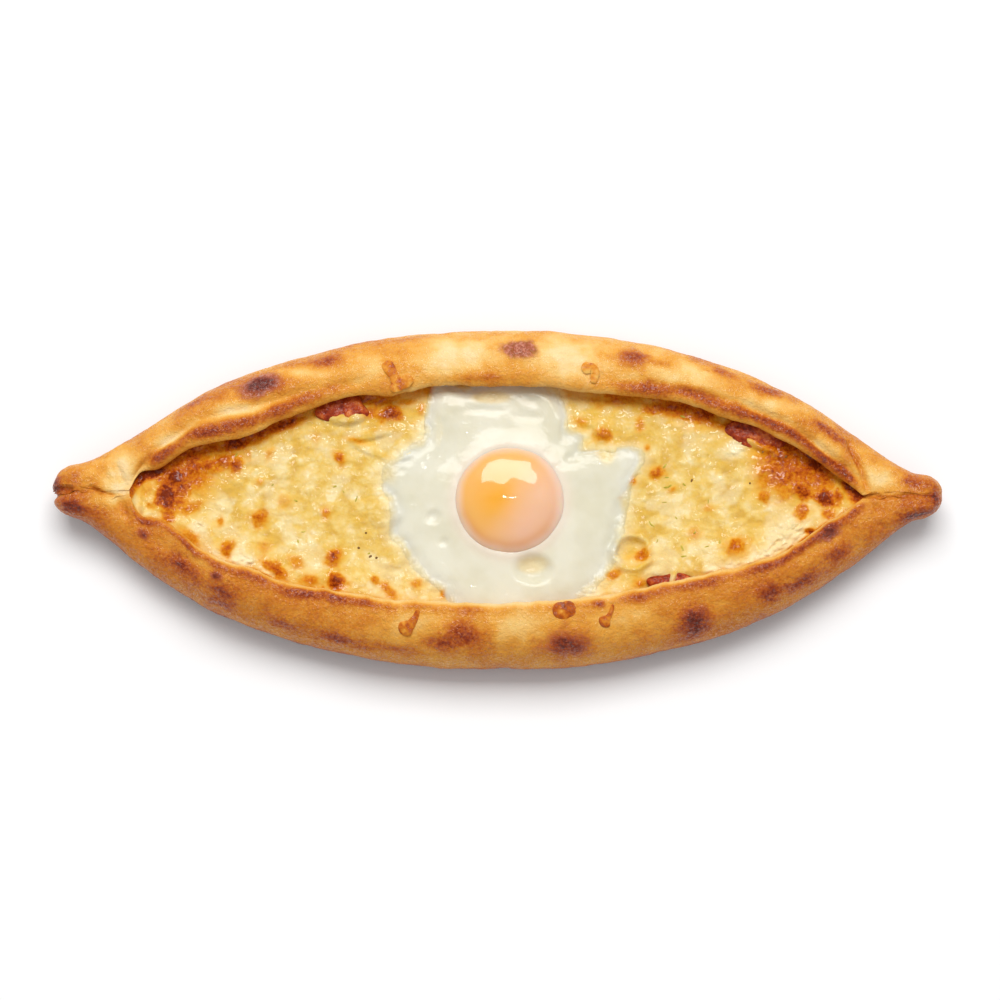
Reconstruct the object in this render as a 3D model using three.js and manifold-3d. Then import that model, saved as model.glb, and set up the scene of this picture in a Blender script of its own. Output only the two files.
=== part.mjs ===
// A cheese pide: a boat of baked dough whose sides are rolled inwards into thick rims and
// pinched together at both tips, filled with melted cheese, an egg and slices of cured meat.
// Millimetres. X runs along the boat, Y across it with the back rim at +Y, and Z is up from
// the surface that the boat lies on.
import * as THREE from 'three';
import { mergeVertices } from 'three/addons/utils/BufferGeometryUtils.js';
import Module from 'manifold-3d';

const wasm = await Module();
wasm.setup();

// Dough boat
const halfLength = 160;
const lens = { halfWidth: 60.8, halfLength: 153.8, fullness: 2.64 }; // plan of the boat without its tips
const tips = {
  left: { radius: 9.8, drift: 2.9, split: 1.8 }, // drift: sideways bend, split: notch in the end
  right: { radius: 7.9, drift: 0.9, split: 0.3 },
};
const tipBlend = 2.6; // the higher, the tighter the corner between the lens and its tips
const tipLift = 3.4; // the pinched tips curl up off the surface
const tipFlatness = 0.84; // share of the rim's height that is left at the tips
const rim = {
  crestHeight: 27,
  tipCrestHeight: 20,
  beltHeight: 9.5, // where the rim is widest
  footInset: 10, // from the widest line in to the edge of the flat underside
  lipDrop: 3, // from the crest down to the lip's edge
};
const crestInset = { back: 5, front: 3 }; // from the lip's edge out to the crest
const undercut = { back: 4.5, front: 2.5 }; // how far the cavity reaches under the lip
const floorThickness = 6.5;

// Mouth of the boat, measured to the lip's edge, with the dents and bulges of each lip
const mouth = { halfLength: 131.5, halfWidth: 39.2, fullness: 2.7 };
const lipWaves = {
  back: [
    { at: -86, reach: 24, by: -4.6 },
    { at: -38, reach: 13, by: -2.4 },
    { at: 38, reach: 18, by: -2 },
  ],
  front: [
    { at: -101, reach: 14, by: 2.6 },
    { at: -6, reach: 24, by: 1.4 },
    { at: 57, reach: 14, by: -1.5 },
    { at: 102, reach: 15, by: 3 },
  ],
};
const closing = { from: 116, to: 134 }; // the cavity's floor rises here to become the seam of the tip
const seam = { halfWidth: 0.7, depth: 1.7, endDepth: 0.6 };

// Filling
const gap = 0.35; // clearance between two pieces that touch
const cheese = { level: 18.3, halfLength: 130.5 };
const egg = {
  x: 4.6,
  y: -1.2,
  whiteRadius: 41,
  whiteRise: 2.2, // highest part of the white above the cheese
  whiteDepth: 3, // thickness of white sunk in the cheese
  yolkRadius: 19.7,
  yolkHeight: 13,
  yolkTop: 25.2,
};
const whiteLobes = [
  // degrees round from +X, how far the edge bulges out or dips in, and the lobe's half width in degrees
  { at: 17, by: 9, half: 7 },
  { at: 47, by: -9, half: 12 },
  { at: 90, by: 5, half: 22 },
  { at: 166, by: 14, half: 5 },
  { at: 197, by: 8, half: 5 },
  { at: 205, by: -2, half: 10 },
  { at: 318, by: 2, half: 12 },
];
const meatSlices = [
  { name: 'meat_back_left', x: -56.5, y: 34, length: 18, width: 14, turn: 12, tilt: 4, top: 19.6 },
  { name: 'meat_back_right', x: 93, y: 25, length: 22, width: 13, turn: -24, tilt: 3, top: 19.4 },
  { name: 'meat_front', x: 62, y: -34, length: 17, width: 10, turn: 12, tilt: 2, top: 19.8 },
];
const meatThickness = 2.6;
const edgeThickness = 0.25; // share of its full thickness that a flat piece keeps at its edge

// Fineness of the solids
const stationCount = 67;
const arcSteps = { foot: 3, flank: 5, lip: 3 };
const topSteps = 13;

const bump = (value, at, reach) => Math.exp(-(((value - at) / reach) ** 2));
const smooth = (value, from, to) => THREE.MathUtils.smoothstep(value, from, to);
const mix = THREE.MathUtils.lerp;
const sideName = (side) => (side > 0 ? 'back' : 'front');
const tipAt = (x) => (x < 0 ? tips.left : tips.right);

// Stations crowd towards the tips, where the form changes fastest
const stations = [];
for (let i = 1; i < stationCount; i += 1) {
  stations.push(-halfLength * Math.cos((i / stationCount) * Math.PI));
}

// 0 at the very end of the boat, rising round the tip's nose to 1
function noseRoundness(x) {
  const reach = Math.min((halfLength - Math.abs(x)) / tipAt(x).radius, 1);
  return Math.sqrt(reach * (2 - reach));
}

function outerHalfWidth(x) {
  const nose = tipAt(x).radius * noseRoundness(x);
  const along = Math.abs(x) / lens.halfLength;
  const belly = lens.halfWidth * Math.max(0, 1 - along ** lens.fullness);
  return (belly ** tipBlend + nose ** tipBlend) ** (1 / tipBlend);
}

function lipHalfWidth(x, side) {
  const along = Math.min(Math.abs(x) / mouth.halfLength, 1);
  const plain = mouth.halfWidth * (1 - along ** mouth.fullness);
  const wave = lipWaves[sideName(side)].reduce((sum, dent) => sum + dent.by * bump(x, dent.at, dent.reach), 0);
  return Math.max(plain + wave * (1 - closedness(x)), seam.halfWidth * noseRoundness(x));
}

// 0 over the open mouth and 1 where the two rims are pinched into one tip
function closedness(x) {
  return smooth(Math.abs(x), closing.from, closing.to);
}

function crestHeight(x) {
  const uneven = 0.6 * Math.sin(x / 19 + 1) + 0.35 * Math.sin(x / 8.5);
  return mix(rim.crestHeight, rim.tipCrestHeight, smooth(Math.abs(x), 96, 142)) + uneven;
}

function seamDepth(x) {
  return mix(seam.depth, seam.endDepth, smooth(Math.abs(x), mouth.halfLength, 150));
}

function floorHeight(x) {
  return mix(floorThickness, crestHeight(x) - seamDepth(x), closedness(x));
}

// Surface of the cheese: shallow swells, a ring-shaped bubble and a fold
function cheeseTop(x, y) {
  const swell = 0.5 * Math.sin(x / 7.4 + 0.6) * Math.sin(y / 6.6 + 1.1) + 0.35 * Math.sin((x - 2 * y) / 9.5);
  const fromBubble = Math.hypot(x - 47, y + 19);
  const bubble = 1.3 * bump(fromBubble, 7.5, 3);
  const fold = 1.1 * bump(x, -42, 9) * bump(y, 17 - (x + 42) * 0.15, 4);
  return cheese.level + swell + bubble + fold;
}

// Cavity wall of one rim, from the cheese's level down to the floor, as [off the midline, height]
function cavityWall(x, side, inset) {
  const closed = closedness(x);
  const lip = lipHalfWidth(x, side);
  const reach = undercut[sideName(side)] * (1 - closed);
  const lipHeight = crestHeight(x) - lipDrop(x);
  const floor = floorHeight(x);
  const level = mix(cheeseTop(x, side * (lip + reach)), mix(floor, lipHeight, 0.5), closed);
  const corner = Math.min(4, lip * 0.4);
  const profile = [
    [lip + reach, level],
    [lip + reach, mix(level, floor, 0.4)],
    [lip + reach * 0.5, mix(level, floor, 0.85)],
    [lip + reach * 0.5 - corner, floor],
  ];
  return profile.map(([off, height], i) => [off - inset, i < 2 ? height : height + inset]);
}

function lipDrop(x) {
  return mix(rim.lipDrop, seamDepth(x) * 0.4, closedness(x));
}

// Half section of the dough, from the foot round the flank and over the crest into the cavity
function doughSection(x, side) {
  const outer = outerHalfWidth(x);
  const lip = lipHalfWidth(x, side);
  const crest = crestHeight(x);
  const foot = outer - Math.min(rim.footInset, outer * 0.7);
  const crestLine = lip + Math.min(crestInset[sideName(side)], (outer - lip) * 0.4);
  const section = [];
  for (let i = 0; i <= arcSteps.foot; i += 1) {
    const turn = ((i / arcSteps.foot) * Math.PI) / 2;
    section.push([mix(foot, outer, Math.sin(turn)), rim.beltHeight * (1 - Math.cos(turn))]);
  }
  for (let i = 1; i <= arcSteps.flank; i += 1) {
    const turn = ((i / arcSteps.flank) * Math.PI) / 2;
    section.push([mix(crestLine, outer, Math.cos(turn)), mix(rim.beltHeight, crest, Math.sin(turn))]);
  }
  for (let i = 1; i <= arcSteps.lip; i += 1) {
    const turn = ((i / arcSteps.lip) * Math.PI) / 2;
    section.push([mix(crestLine, lip, Math.sin(turn)), crest - lipDrop(x) * (1 - Math.cos(turn))]);
  }
  section.push(...cavityWall(x, side, 0));
  return section;
}

// Closed ring of [y, height] through one station, counted anticlockwise seen from +X
function closedRing(backHalf, frontHalf) {
  const back = backHalf.map(([off, height]) => [off, height]);
  const front = frontHalf.map(([off, height]) => [-off, height]).reverse();
  return [...back, ...front];
}

// The real boat isn't straight: its tips drift sideways, lift and are split at the end
function bend([x, y, z]) {
  const tip = tipAt(x);
  const towardsTip = smooth(Math.abs(x), 118, 158);
  const notch = tip.split * bump(y, 0, 1.7) * smooth(Math.abs(x), 148, halfLength);
  const flattened = mix(rim.beltHeight, z, mix(1, tipFlatness, towardsTip));
  return [x - Math.sign(x) * notch, y + tip.drift * towardsTip, flattened + tipLift * towardsTip];
}

// Skin over a row of rings that have the same number of points, closed by a pole at each end
function loft(rings, firstPole, lastPole) {
  const perRing = rings[0].length;
  const vertices = [firstPole, ...rings.flat(), lastPole];
  const at = (ring, i) => 1 + ring * perRing + (i % perRing);
  const faces = [];
  for (let i = 0; i < perRing; i += 1) {
    faces.push([0, at(0, i + 1), at(0, i)]);
    faces.push([vertices.length - 1, at(rings.length - 1, i), at(rings.length - 1, i + 1)]);
    for (let ring = 0; ring + 1 < rings.length; ring += 1) {
      faces.push([at(ring, i), at(ring, i + 1), at(ring + 1, i + 1)]);
      faces.push([at(ring, i), at(ring + 1, i + 1), at(ring + 1, i)]);
    }
  }
  const geometry = new THREE.BufferGeometry();
  geometry.setAttribute('position', new THREE.Float32BufferAttribute(vertices.flat(), 3));
  geometry.setIndex(faces.flat());
  return geometry;
}

function middleOf(ring) {
  const box = new THREE.Box3().setFromPoints(ring.map((point) => new THREE.Vector3(...point)));
  return box.getCenter(new THREE.Vector3()).toArray();
}

function doughGeometry() {
  const rings = stations.map((x) => {
    const ring = closedRing(doughSection(x, 1), doughSection(x, -1));
    return ring.map(([y, height]) => bend([x, y, mix(rim.beltHeight, height, noseRoundness(x))]));
  });
  const pole = (x) => bend([x, 0, rim.beltHeight]);
  return loft(rings, pole(-halfLength), pole(halfLength));
}

// The room inside the dough up to a lid, with a clearance to the dough all round
function cavityGeometry(lidPoints) {
  const within = stations.filter((x) => Math.abs(x) < cheese.halfLength);
  const rings = within.map((x) => {
    const walls = closedRing(cavityWall(x, 1, gap), cavityWall(x, -1, gap));
    const ring = [...walls, ...lidPoints(x, walls)].map(([y, height]) => bend([x, y, height]));
    return ring.reverse();
  });
  return loft(rings, middleOf(rings[0]), middleOf(rings[rings.length - 1]));
}

function cheeseLid(x, walls) {
  const [frontY, backY] = [walls[walls.length - 1][0], walls[0][0]];
  const [frontLevel, backLevel] = [walls[walls.length - 1][1], walls[0][1]];
  const lid = [];
  for (let i = 1; i < topSteps; i += 1) {
    const across = i / topSteps;
    const y = mix(frontY, backY, across);
    const edge = mix(frontLevel, backLevel, across);
    lid.push([y, mix(cheeseTop(x, y), edge, closedness(x))]);
  }
  return lid;
}

// A lid far above the filling, which narrows to pass the lips on its way up
function openLid(x) {
  const height = crestHeight(x) - lipDrop(x);
  const back = lipHalfWidth(x, 1) - gap;
  const front = lipHalfWidth(x, -1) - gap;
  return [[-front, height], [-front, height + 20], [back, height + 20], [back, height]];
}

// A flat-lying piece whose edge is edgeRadius(turn) from its middle. height(out, turn, face) gives
// its upper face (+1) and lower face (-1), where out runs from 0 in the middle to 1 at the edge.
function lobedGeometry(edgeRadius, height, spokes, ringsPerFace) {
  const rings = [];
  const face = (sign, outs) => {
    for (const out of outs) {
      const ring = [];
      for (let i = 0; i < spokes; i += 1) {
        const turn = (i / spokes) * 2 * Math.PI;
        const radius = edgeRadius(turn) * out;
        ring.push([radius * Math.cos(turn), radius * Math.sin(turn), height(out, turn, sign)]);
      }
      rings.push(ring);
    }
  };
  const outs = [];
  for (let i = 1; i <= ringsPerFace; i += 1) {
    outs.push(Math.sin(((i / ringsPerFace) * Math.PI) / 2));
  }
  face(-1, outs);
  face(1, outs.reverse());
  return loft(rings, [0, 0, height(0, 0, -1)], [0, 0, height(0, 0, 1)]);
}

function whiteGeometry(grow) {
  const edge = (turn) => {
    const degrees = THREE.MathUtils.radToDeg(turn);
    const lobes = whiteLobes.reduce((sum, lobe) => sum + lobe.by * bump(degrees, lobe.at, lobe.half), 0);
    return egg.whiteRadius + lobes + grow;
  };
  const height = (out, turn, face) => {
    const rounded = edgeThickness + (1 - edgeThickness) * Math.sqrt(1 - out ** 4);
    const puddle = 0.3 * Math.sin(3 * turn + 1) * out;
    const well = 4.2 * bump(out, 0, 0.45);
    return face > 0
      ? cheese.level + grow + (egg.whiteRise + puddle) * rounded
      : cheese.level - grow - (egg.whiteDepth + well) * rounded;
  };
  return lobedGeometry(edge, height, 60, 4).translate(egg.x, egg.y, 0);
}

function yolkGeometry(grow) {
  const profile = [];
  const steps = 9;
  for (let i = 0; i <= steps; i += 1) {
    const turn = ((i / steps) * 2 - 1) * (Math.PI / 2);
    const radius = (egg.yolkRadius + grow) * Math.cos(turn) ** 0.8;
    profile.push(new THREE.Vector2(i % steps === 0 ? 0 : radius, (egg.yolkHeight / 2 + grow) * Math.sin(turn)));
  }
  const geometry = new THREE.LatheGeometry(profile, 28);
  geometry.rotateX(Math.PI / 2);
  geometry.scale(1, 0.97, 1);
  geometry.translate(egg.x, egg.y, egg.yolkTop - egg.yolkHeight / 2);
  geometry.deleteAttribute('normal');
  geometry.deleteAttribute('uv');
  return mergeVertices(geometry);
}

function meatGeometry(slice, grow) {
  const edge = (turn) => 1 + 0.13 * Math.cos(3 * turn + slice.x) + 0.06 * Math.sin(5 * turn + slice.y);
  const height = (out, turn, face) => {
    const rounded = edgeThickness + (1 - edgeThickness) * Math.sqrt(1 - out ** 6);
    const curl = 0.5 * Math.cos(2 * turn) * out ** 2;
    return curl - meatThickness / 2 + face * (meatThickness / 2 * rounded + grow);
  };
  const geometry = lobedGeometry(edge, height, 20, 3);
  geometry.scale(slice.length / 2 + grow, slice.width / 2 + grow, 1);
  geometry.rotateX(THREE.MathUtils.degToRad(slice.tilt));
  geometry.rotateZ(THREE.MathUtils.degToRad(slice.turn));
  return geometry.translate(slice.x, slice.y, slice.top);
}

function solid(geometry) {
  return new wasm.Manifold(new wasm.Mesh({
    numProp: 3,
    vertProperties: Float32Array.from(geometry.getAttribute('position').array),
    triVerts: Uint32Array.from(geometry.index.array),
  }));
}

function skin(manifold) {
  const mesh = manifold.getMesh();
  const geometry = new THREE.BufferGeometry();
  geometry.setAttribute('position', new THREE.BufferAttribute(mesh.vertProperties, mesh.numProp));
  geometry.setIndex(new THREE.BufferAttribute(mesh.triVerts, 1));
  return geometry;
}

const pide = new THREE.Group();

function addPiece(name, geometry, color, roughness) {
  geometry.computeVertexNormals();
  const material = new THREE.MeshStandardMaterial({ color, roughness, metalness: 0 });
  const mesh = new THREE.Mesh(geometry, material);
  mesh.name = name;
  pide.add(mesh);
}

const cavity = solid(cavityGeometry(openLid));
const insideCavity = (geometry) => solid(geometry).intersect(cavity);
let filling = solid(cavityGeometry(cheeseLid)).subtract(solid(whiteGeometry(gap)));
for (const slice of meatSlices) {
  filling = filling.subtract(solid(meatGeometry(slice, gap)));
}
const white = insideCavity(whiteGeometry(0)).subtract(solid(yolkGeometry(gap)));

addPiece('dough_boat', doughGeometry(), 0xd9a05a, 0.75);
addPiece('melted_cheese', skin(filling), 0xecd283, 0.35);
addPiece('egg_white', skin(white), 0xeeebdc, 0.3);
addPiece('egg_yolk', yolkGeometry(0), 0xf0ae5a, 0.25);
for (const slice of meatSlices) {
  addPiece(slice.name, skin(insideCavity(meatGeometry(slice, 0))), 0x7a2f1c, 0.4);
}

export default pide;
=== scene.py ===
import random
from functools import lru_cache, partial
from math import acos, asin, atan2, copysign, cos, degrees, exp, hypot, inf, pi, radians, sin, sqrt

import bmesh
import bpy
from mathutils import Matrix, Vector, noise


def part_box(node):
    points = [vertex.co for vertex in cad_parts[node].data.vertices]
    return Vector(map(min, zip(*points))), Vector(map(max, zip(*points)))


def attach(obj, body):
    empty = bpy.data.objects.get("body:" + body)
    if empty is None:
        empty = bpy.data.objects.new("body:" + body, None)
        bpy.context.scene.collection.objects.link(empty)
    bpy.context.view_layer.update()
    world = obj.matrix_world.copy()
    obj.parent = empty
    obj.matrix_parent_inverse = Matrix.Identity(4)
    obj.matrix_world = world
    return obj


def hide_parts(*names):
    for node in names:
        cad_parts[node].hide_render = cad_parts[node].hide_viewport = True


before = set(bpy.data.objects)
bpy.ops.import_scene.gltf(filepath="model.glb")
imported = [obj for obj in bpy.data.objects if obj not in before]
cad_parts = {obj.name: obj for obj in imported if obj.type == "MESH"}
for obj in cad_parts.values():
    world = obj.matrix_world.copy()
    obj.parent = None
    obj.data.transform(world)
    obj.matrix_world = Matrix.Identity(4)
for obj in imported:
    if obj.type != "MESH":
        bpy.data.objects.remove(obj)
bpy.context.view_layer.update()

mm = 0.001
boatLow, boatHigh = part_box("dough_boat")
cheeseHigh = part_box("melted_cheese")[1]
yolkLow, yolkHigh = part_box("egg_yolk")
print("frame loaded")


# small helpers shared by every piece; lengths are in millimetres until a mesh is finished

def mix(a, b, t):
    return a + (b - a) * t


def smooth(value, low, high):
    t = min(max((value - low) / (high - low), 0.0), 1.0)
    return t * t * (3 - 2 * t)


def bump(value, at, reach):
    return exp(-(((value - at) / reach) ** 2))


def sign(value):
    return 1 if value > 0 else -1


def ovalOut(stepX, stepY, length, width, turn):
    # 0 in the middle of a turned oval and 1 at its edge
    cosine, sine = cos(radians(turn)), sin(radians(turn))
    return hypot((stepX * cosine + stepY * sine) / length, (stepY * cosine - stepX * sine) / width)


def ovalsNear(table, x, y, reach=inf):
    # for each row (x, y, length, width, turn, ...) that is close: how far out the place is, and the rest
    for row in table:
        stepX, stepY = x - row[0], y - row[1]
        if abs(stepX) < reach and abs(stepY) < reach:
            yield ovalOut(stepX, stepY, *row[2:5]), *row[5:]


def dot(x, y, atX, atY, reach):
    return bump(hypot(x - atX, y - atY), 0, reach)


def grain(place, size, octaves=3, seed=0.0):
    # soft noise around 0, with lumps about size across
    spot = Vector((place[0] / size + seed, place[1] / size - seed, place[2] / size + 0.37 * seed))
    return noise.fractal(spot, 1.0, 2.0, octaves)


def tint(red, green, blue):
    # the colour as seen on a screen, 0 to 255, made linear for the shader
    def linear(value):
        value /= 255
        return value / 12.92 if value <= 0.04045 else ((value + 0.055) / 1.055) ** 2.4
    return (linear(red), linear(green), linear(blue), 1.0)


def gridMesh(size, pointAt):
    # a sheet of columns and rows from 0 to 1, laid out by pointAt
    mesh = bmesh.new()
    bmesh.ops.create_grid(mesh, x_segments=size["columns"], y_segments=size["rows"], size=1)
    for vert in mesh.verts:
        vert.co = pointAt((vert.co.x + 1) / 2, (vert.co.y + 1) / 2)
    return mesh


def addLayers(mesh, *names):
    return [mesh.verts.layers.float.new(name) for name in names]


def ballMesh(size, *names):
    # a ball of radius 1 with a painted layer for each name
    mesh = bmesh.new()
    bmesh.ops.create_uvsphere(mesh, u_segments=size["segments"], v_segments=size["rings"], radius=1)
    return mesh, addLayers(mesh, *names)


def paint(vert, layers, values):
    for layer, value in zip(layers, values):
        vert[layer] = value


def addObject(name, data):
    thing = bpy.data.objects.new(name, data)
    bpy.context.scene.collection.objects.link(thing)
    return thing


def meshObject(mesh, name, material):
    data = bpy.data.meshes.new(name)
    mesh.to_mesh(data)
    mesh.free()
    data.materials.append(material)
    return addObject(name, data)


def finishPiece(mesh, name, material, slot, *replaced):
    # turns a bmesh in millimetres into a smooth object that rides on the pide
    bmesh.ops.recalc_face_normals(mesh, faces=mesh.faces)
    bmesh.ops.scale(mesh, vec=(mm, mm, mm), verts=mesh.verts)
    piece = meshObject(mesh, name, material)
    faces = piece.data.polygons
    faces.foreach_set("use_smooth", [True] * len(faces))
    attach(piece, "root")
    if replaced:
        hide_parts(*replaced)
    print("made", name, len(faces), "faces")


def setInputs(node, inputs):
    # each value is a constant or what another node puts out
    for socket, value in inputs.items():
        if isinstance(value, bpy.types.NodeSocket):
            node.id_data.links.new(value, node.inputs[socket])
        else:
            node.inputs[socket].default_value = value


def addNode(kind, inputs, **settings):
    # the node joins the tree of the sockets that feed it; kind is its type after ShaderNode
    tree = next(value.id_data for value in inputs.values() if isinstance(value, bpy.types.NodeSocket))
    node = tree.nodes.new("ShaderNode" + kind)
    for setting, value in settings.items():
        setattr(node, setting, value)
    setInputs(node, inputs)
    return node


def startMaterial(name):
    material = bpy.data.materials.new(name)
    material.use_nodes = True
    return material, material.node_tree.nodes.new("ShaderNodeTexCoord").outputs["Object"]


surfaceInputs = {   # the sockets that each word given to finishMaterial fills, in this order
    "colour": ["Base Color"],
    "skin": ["Roughness", "Specular IOR Level"],
    "depth": ["Subsurface Weight", "Subsurface Radius", "Subsurface Scale"],
    "coat": ["Coat Weight", "Coat Roughness", "Coat IOR"],
    "bumps": ["Normal", "Coat Normal"],
}


def finishMaterial(material, **looks):
    for look, values in looks.items():
        setInputs(material.node_tree.nodes["Principled BSDF"], dict(zip(surfaceInputs[look], values)))
    return material


def noiseValue(place, size, detail, rough=0.55, stretch=None):
    # size is the width of a lump in millimetres
    if stretch:
        place = addNode("Mapping", {"Vector": place, "Scale": stretch}).outputs[0]
    inputs = {"Vector": place, "Scale": 1000 / size, "Detail": detail, "Roughness": rough}
    return addNode("TexNoise", inputs).outputs["Fac"]


def maths(operation, *values, clamp=False):
    inputs = dict(enumerate(values))
    return addNode("Math", inputs, operation=operation, use_clamp=clamp).outputs[0]


plus = partial(maths, "ADD")
times = partial(maths, "MULTIPLY")
scaled = partial(maths, "MULTIPLY_ADD")   # value, factor, offset


def spread(value, low, high, start=0, end=1, kind="SMOOTHSTEP"):
    # start below low, end above high, and a soft change between them
    inputs = {"Value": value, "From Min": low, "From Max": high, "To Min": start, "To Max": end}
    return addNode("MapRange", inputs, interpolation_type=kind).outputs[0]


def painted(place, name):
    # a value painted on the mesh, for the tree that place belongs to
    node = place.id_data.nodes.new("ShaderNodeAttribute")
    node.attribute_name, node.attribute_type = name, "GEOMETRY"
    return node.outputs["Fac"]


def blendColour(factor, first, second):
    # in a colour mix, inputs 6 and 7 are the two colours and output 2 is the mixed one
    inputs = {0: factor, 6: first, 7: second}
    return addNode("Mix", inputs, data_type="RGBA").outputs[2]


def ramp(factor, stops):
    # each stop is a place from 0 to 1 and a colour as seen on a screen
    node = addNode("ValToRGB", {"Fac": factor})
    elements = node.color_ramp.elements
    while len(elements) < len(stops):
        elements.new(0.5)
    for element, (at, *colour) in zip(elements, stops):
        element.position = at
        element.color = tint(*colour)
    return node.outputs["Color"]


def bumpFrom(heights, strength, distance):
    inputs = {"Height": heights, "Strength": strength, "Distance": distance * mm}
    return addNode("Bump", inputs).outputs["Normal"]


# baked dough

dough = {   # 1 is the back rim or the right end, -1 the front rim or the left end
    "columns": 470,
    "rows": 204,
    "halfLength": (boatHigh.x - boatLow.x) / 2 / mm + 0.4,
    "halfWidth": boatHigh.y / mm - 0.2,
    "crest": boatHigh.z / mm - 0.9,
    "tipCrest": 20,
    "crestFall": (96, 142),          # where the crest comes down to the tips
    "belt": 9.5,                     # height of the widest line
    "footInset": 10,
    "lipDrop": 3,
    "shoulder": 2.25,                # 2 is a round flank, more is squarer
    "lensLength": 153.8,
    "lensFullness": 2.64,
    "tipBlend": 2.6,
    "slimming": {1: 1.2, -1: 1.7},   # the shoulders are a little leaner than the lens
    "crestInset": {1: 5, -1: 3.2},
    "undercut": {1: 4.5, -1: 2.5},
    "floor": 6.5,
    "mouthLength": 131.5,
    "mouthWidth": {1: 39.4, -1: 37.6},
    "mouthFullness": 2.7,
    "roundEnd": 4,                   # the left end of the mouth is blunt
    "roundStart": 126.2,
    "roundLength": 4.9,
    "closing": {1: (121, 135), -1: (125.5, 131.5)},
    "tipBend": (118, 158),
    "tipLift": 3.4,
    "tipFlatness": 0.84,
}
sectionParts = [   # where each part of a rim's section starts, and its length
    ("base", 0, 0.05), ("foot", 0.05, 0.17), ("flank", 0.22, 0.38), ("top", 0.6, 0.18),
    ("wall", 0.78, 0.16), ("floor", 0.94, 0.06),
]
tips = {
    -1: {"radius": 9.8, "drift": 2.9, "split": 1.8, "cleft": -1.3, "wander": 0.7},
    1: {"radius": 7.9, "drift": 0.9, "split": 0.3, "cleft": 0, "wander": 0.5},
}
lipWaves = {   # place along the lip, reach and size of each dent or bulge
    1: [(-86, 24, -4.6), (-38, 13, -2.4), (38, 18, -2), (-111, 11, 3), (-79, 5, 1), (-66, 5, 0.7),
        (-47, 4, 0.6), (-22, 6, 0.9), (62, 16, 0.6), (79, 5, -0.5), (108, 6, 0.8)],
    -1: [(-101, 14, 2.3), (0, 24, 0.6), (62, 22, -2.2), (101, 14, 1.4), (-38, 6, 0.4), (28, 5, -0.4),
         (-119, 8, -1.9), (-74, 7, 1.4), (116, 7, -1)],
}
seam = {"halfWidth": 0.7, "depth": 0.9, "endDepth": 0.5}


def closedness(x):
    return smooth(abs(x), *dough["closing"][sign(x)])


def toTip(x):
    return smooth(abs(x), *dough["tipBend"])


def noseRoundness(x):
    reach = min((dough["halfLength"] - abs(x)) / tips[sign(x)]["radius"], 1)
    return sqrt(max(reach * (2 - reach), 0.0))


def lipReach(x, side):
    along = min(abs(x) / dough["mouthLength"], 1)
    plain = dough["mouthWidth"][side] * (1 - along ** dough["mouthFullness"])
    waves = sum(size * bump(x, at, reach) for at, reach, size in lipWaves[side])
    waves += 0.5 * grain((x, side * 9, 0), 6.5, 3, 91)
    reach = plain + waves * (1 - closedness(x))
    if x < -100:
        pastEnd = min(max((-x - dough["roundStart"]) / dough["roundLength"], 0), 1)
        reach = (reach + dough["roundEnd"] * bump(x, -127, 6)) * sqrt(1 - pastEnd ** 2)
    return max(reach, seam["halfWidth"] * noseRoundness(x))


def crestAt(x):
    uneven = 0.6 * sin(x / 19 + 1) + 0.35 * sin(x / 8.5)
    return mix(dough["crest"], dough["tipCrest"], smooth(abs(x), *dough["crestFall"])) + uneven


def seamDepth(x):
    broken = 0.55 + 0.45 * sin(abs(x) * 0.9 + 1)
    return mix(seam["depth"], seam["endDepth"], smooth(abs(x), dough["mouthLength"], 150)) * broken


@lru_cache(maxsize=None)
def rimAt(x, side):
    # the measures of one rim at one place along the boat
    nose = tips[sign(x)]["radius"] * noseRoundness(x)
    along = abs(x) / dough["lensLength"]
    belly = dough["halfWidth"] * max(0, 1 - along ** dough["lensFullness"])
    belly = max(belly - dough["slimming"][sign(x)] * bump(abs(x), 68, 36), 0)
    outer = (belly ** dough["tipBlend"] + nose ** dough["tipBlend"]) ** (1 / dough["tipBlend"])
    lip = lipReach(x, side)
    closed = closedness(x)
    crest = crestAt(x)
    drop = mix(dough["lipDrop"], seamDepth(x) * 0.4, closed)
    floor = mix(dough["floor"], crest - seamDepth(x), closed)
    return {
        "outer": outer,
        "lip": lip,
        "crest": crest,
        "drop": drop,
        "floor": floor,
        "foot": outer - min(dough["footInset"], outer * 0.7),
        "crestLine": lip + min(dough["crestInset"][side], (outer - lip) * 0.4),
        "under": dough["undercut"][side] * (1 - closed),
        "round": noseRoundness(x),
    }


def doughSection(rim, t):
    # one rim's section, from under the middle of the boat (0) out, over and in to the floor (1)
    part, start, length = [row for row in sectionParts if t >= row[1]][-1]
    share = (t - start) / length
    turn = share * pi / 2
    power = 2 / dough["shoulder"]
    if part == "base":
        return rim["foot"] * share, 0
    if part == "foot":
        return mix(rim["foot"], rim["outer"], sin(turn)), dough["belt"] * (1 - cos(turn))
    if part == "flank":
        off = mix(rim["crestLine"], rim["outer"], max(cos(turn), 0) ** power)
        return off, mix(dough["belt"], rim["crest"], sin(turn) ** power)
    if part == "top":
        off = mix(rim["crestLine"], rim["lip"], sin(turn))
        return off, rim["crest"] - rim["drop"] * (1 - cos(turn))
    if part == "wall":
        hollow = sin(min(share * 1.25, 1) * pi / 2) - 0.55 * smooth(share, 0.6, 1)
        return rim["lip"] + rim["under"] * hollow, mix(rim["crest"] - rim["drop"], rim["floor"], share)
    return (rim["lip"] + rim["under"] * 0.45) * (1 - share), rim["floor"]


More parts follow.
